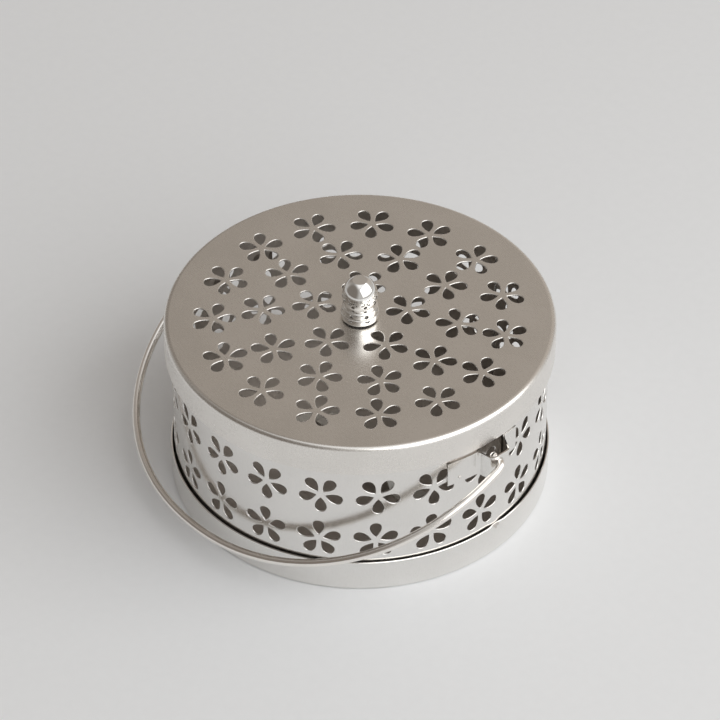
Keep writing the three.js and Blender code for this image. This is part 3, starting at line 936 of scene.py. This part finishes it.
def make_room():
    """A plain room: pale, duller and warmer where the lid's top looks, and dark at the left."""
    world = bpy.data.worlds.new("room")
    bpy.context.scene.world = world
    world.use_nodes = True
    nodes, links = world.node_tree.nodes, world.node_tree.links
    background = nodes["Background"]
    dull = mixed(nodes, links, facing_mask(nodes, links, *RIGHT_HALF), ROOM_DULL_LEFT,
                 ROOM_DULL_RIGHT)
    pale = mixed(nodes, links, facing_mask(nodes, links, *OVERHEAD), ROOM_PALE, ROOM_OVERHEAD)
    colour = mixed(nodes, links, facing_mask(nodes, links, *BEHIND), pale, dull)
    colour = mixed(nodes, links, facing_mask(nodes, links, *AT_LEFT), colour, ROOM_DARK)
    path = nodes.new("ShaderNodeLightPath")
    colour = mixed(nodes, links, path.outputs["Is Camera Ray"], colour, BACKDROP)
    links.new(colour, background.inputs["Color"])
    background.inputs["Strength"].default_value = 1


def make_window():
    """One broad soft lamp, which is the light of a window."""
    data = bpy.data.lights.new("window", "AREA")
    data.shape = "RECTANGLE"
    data.size, data.size_y = WINDOW_WIDTH, WINDOW_HEIGHT
    data.energy = WINDOW_POWER
    data.color = WINDOW_COLOUR
    window = new_object("window", data)
    direction = from_photo(WINDOW_ANGLE, WINDOW_ELEVATION)
    window.location = direction * WINDOW_DISTANCE
    window.rotation_mode = "QUATERNION"
    window.rotation_quaternion = (-direction).to_track_quat("-Z", "Y")


def make_floor():
    mesh = bpy.data.meshes.new("table_top")
    ends = (-FLOOR_HALF_SIZE, FLOOR_HALF_SIZE)
    mesh.from_pydata([(x, y, 0) for y in ends for x in ends], [], [(0, 1, 3, 2)])
    floor = new_object("table_top", mesh)
    floor.data.materials.append(floor_material())


def make_camera():
    data = bpy.data.cameras.new("camera")
    data.lens = CAMERA_LENS
    data.sensor_width = CAMERA_SENSOR
    camera = new_object("camera", data)
    back = from_photo(0, math.degrees(CAMERA_ELEVATION))
    camera.location = back * CAMERA_DISTANCE
    camera.rotation_mode = "QUATERNION"
    camera.rotation_quaternion = ((-back).to_track_quat("-Z", "Y")
                                  @ Quaternion((1, 0, 0), CAMERA_TILT))
    bpy.context.scene.camera = camera


def give_faces(piece, material, chosen):
    """Gives the faces that are chosen a material of their own."""
    piece.data.materials.append(material)
    for face in piece.data.polygons:
        if chosen(face):
            face.material_index = len(piece.data.materials) - 1


def give_inside(piece, material, radius, low, high):
    """Gives the faces inside a radius, and between two heights, a material of their own."""
    give_faces(piece, material,
               lambda face: face.center.xy.length < radius and low < face.center.z < high)


def in_shade(face):
    """Whether a face of an ear gets painted shade: it looks at the wall, or it is the upper edge of
    its nearer part.
    """
    upper = face.normal.z > SHADED_UP and face.center.y < EAR_PLATE_Y[1]
    return upper or face.normal.xy.dot(face.center.xy.normalized()) < SHADED_INWARDS


def dress(piece, body, nodes, material):
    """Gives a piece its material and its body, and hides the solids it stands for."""
    piece.data.materials.append(material)
    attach(piece, body)
    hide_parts(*nodes)


make_camera()
make_floor()
make_room()
make_window()

SATIN = metal("steel_satin", (0.86, 0.845, 0.82), (0.785, 0.77, 0.745), roughness=(0.13, 0.19),
              grain_scale=2600, grain_bump=0.12, grain_stretch=(1, 1, 0.25), swell=0.02)
LID = metal("steel_lid", (0.88, 0.855, 0.82), (0.79, 0.765, 0.73), roughness=(0.24, 0.31),
            grain_scale=2800, grain_bump=0.15, grain_stretch=(0.3, 1, 1), swell=0.02)
WIRE = metal("steel_wire", (0.97, 0.935, 0.895), (0.89, 0.855, 0.815), roughness=(0.13, 0.20),
             grain_scale=1800, grain_bump=0.08)
CHROME = metal("knob_polish", (0.93, 0.92, 0.90), (0.88, 0.865, 0.84), roughness=(0.035, 0.075),
               grain_scale=1500, grain_bump=0.02, swell=0.03)
PLATED = metal("steel_plated", (0.80, 0.79, 0.76), (0.68, 0.67, 0.64), roughness=(0.25, 0.38),
               grain_scale=1700, grain_bump=0.15)
# The insides get a darker, duller copy of the steel: painted shade for the dim inside of the case.
INNER_SHADE = metal("steel_inner_shade", (0.66, 0.62, 0.585), (0.56, 0.525, 0.49), roughness=(0.32, 0.42),
              grain_scale=2400, grain_bump=0.1)
# A dark copy of the steel, for painted shade on the ears' upper edges and on their backs.
EAR_PAINTED_SHADE = metal("steel_painted_shade", (0.30, 0.265, 0.235), (0.22, 0.195, 0.17), roughness=(0.34, 0.45),
               grain_scale=2400, grain_bump=0.1)
WASHER = dark_washer()

dish = dish_shell()
dress(dish, "dish", ["base_dish"], SATIN)
give_inside(dish, INNER_SHADE, DISH_RADIUS - SKIN, SKIN, DISH_TOP)
wall = case_wall()
dress(wall, "cover", ["body_wall"], SATIN)
give_inside(wall, INNER_SHADE, WALL_RADIUS - SKIN, 0, WALL_TOP)
for side, name, node in ((1, "ear_plate_right", "ear_right"), (-1, "ear_plate_left", "ear_left")):
    bracket = ear(side, name)
    dress(bracket, "cover", [node], SATIN)
    give_faces(bracket, EAR_PAINTED_SHADE, in_shade)
lid = lid_shell()
dress(lid, "lid", ["lid_cap"], LID)
give_inside(lid, INNER_SHADE, LID_RADIUS - SKIN, LID_BOTTOM, LID_TOP - SKIN)
dress(knob_turned(), "lid", ["lid_knob"], CHROME)
dress(washer_ring(), "lid", ["knob_washer"], WASHER)
dress(screw_body(), "lid", ["knob_screw"], PLATED)
dress(bail_rod(), "bail", ["bail_wire"], WIRE)
dress(coil_bridge(), "dish", ["coil_stand"], PLATED)
spear = coil_spear()
spear.data.materials.append(PLATED)
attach(spear, "dish")

bpy.context.scene.view_settings.view_transform = "Standard"
